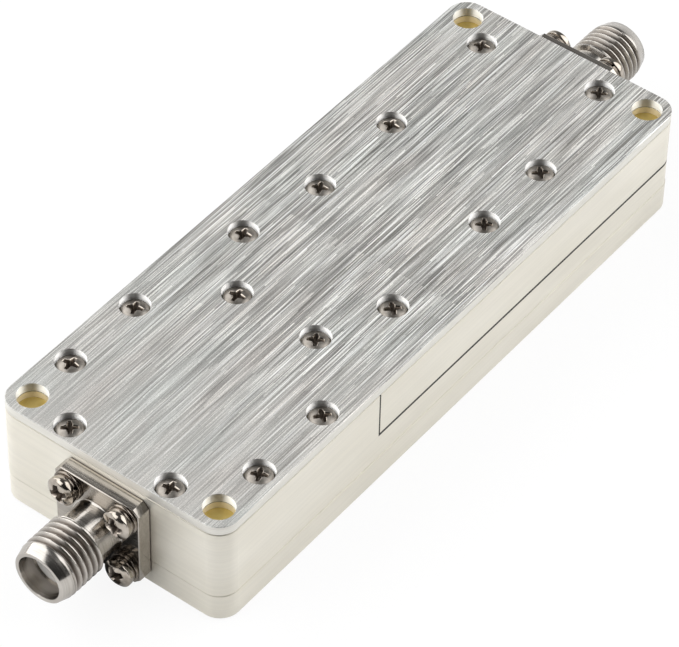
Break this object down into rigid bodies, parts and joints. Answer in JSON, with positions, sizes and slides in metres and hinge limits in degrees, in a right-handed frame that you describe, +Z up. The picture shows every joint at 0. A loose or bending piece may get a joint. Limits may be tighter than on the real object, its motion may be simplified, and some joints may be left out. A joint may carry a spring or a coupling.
{
  "type": "coaxial rf filter",
  "caption": "Slim rf filter in a plated metal housing with a brushed face plate, sunk lid screws, tapped corner inserts and a threaded coaxial jack on each end.",
  "frame": {"origin": "middle of the mounting face, under the centre of the overall box", "axes": "+X from the input jack to the output jack, +Y across the housing, +Z up from the mounting face to the face plate"},
  "size_m": [0.089, 0.026, 0.0122],
  "materials": {
    "plated_body": "silver plated, satin, slightly warm",
    "brushed_plate": "brushed along the length",
    "gasket": "matt black",
    "screw_steel": "bright stainless",
    "washer_steel": "bright stainless",
    "insert_brass": "gold coloured, satin",
    "jack_steel": "turned and passivated",
    "dielectric": "white, waxy",
    "contact_gold": "gold plated",
    "board": "off white laminate",
    "gold_line": "gold plated",
    "solder": "dull tin solder"
  },
  "bodies": {
    "root": {"lower_housing": "plated_body", "near_cover": "plated_body", "upper_block": "plated_body", "face_plate": "brushed_plate", "joint_gasket": "gasket", "cover_screws": "screw_steel", "block_screws": "screw_steel", "corner_inserts": "insert_brass", "input_board": "board", "input_line": "gold_line", "output_board": "board", "output_line": "gold_line", "board_strap": "gold_line", "input_jack_shell": "jack_steel", "input_dielectric": "dielectric", "input_contact": "contact_gold", "input_solder": "solder", "input_screws": "screw_steel", "input_lock_washers": "washer_steel", "input_flat_washers": "washer_steel", "output_jack_shell": "jack_steel", "output_dielectric": "dielectric", "output_contact": "contact_gold", "output_solder": "solder", "output_screws": "screw_steel", "output_lock_washers": "washer_steel", "output_flat_washers": "washer_steel"}
  },
  "joints": []
}
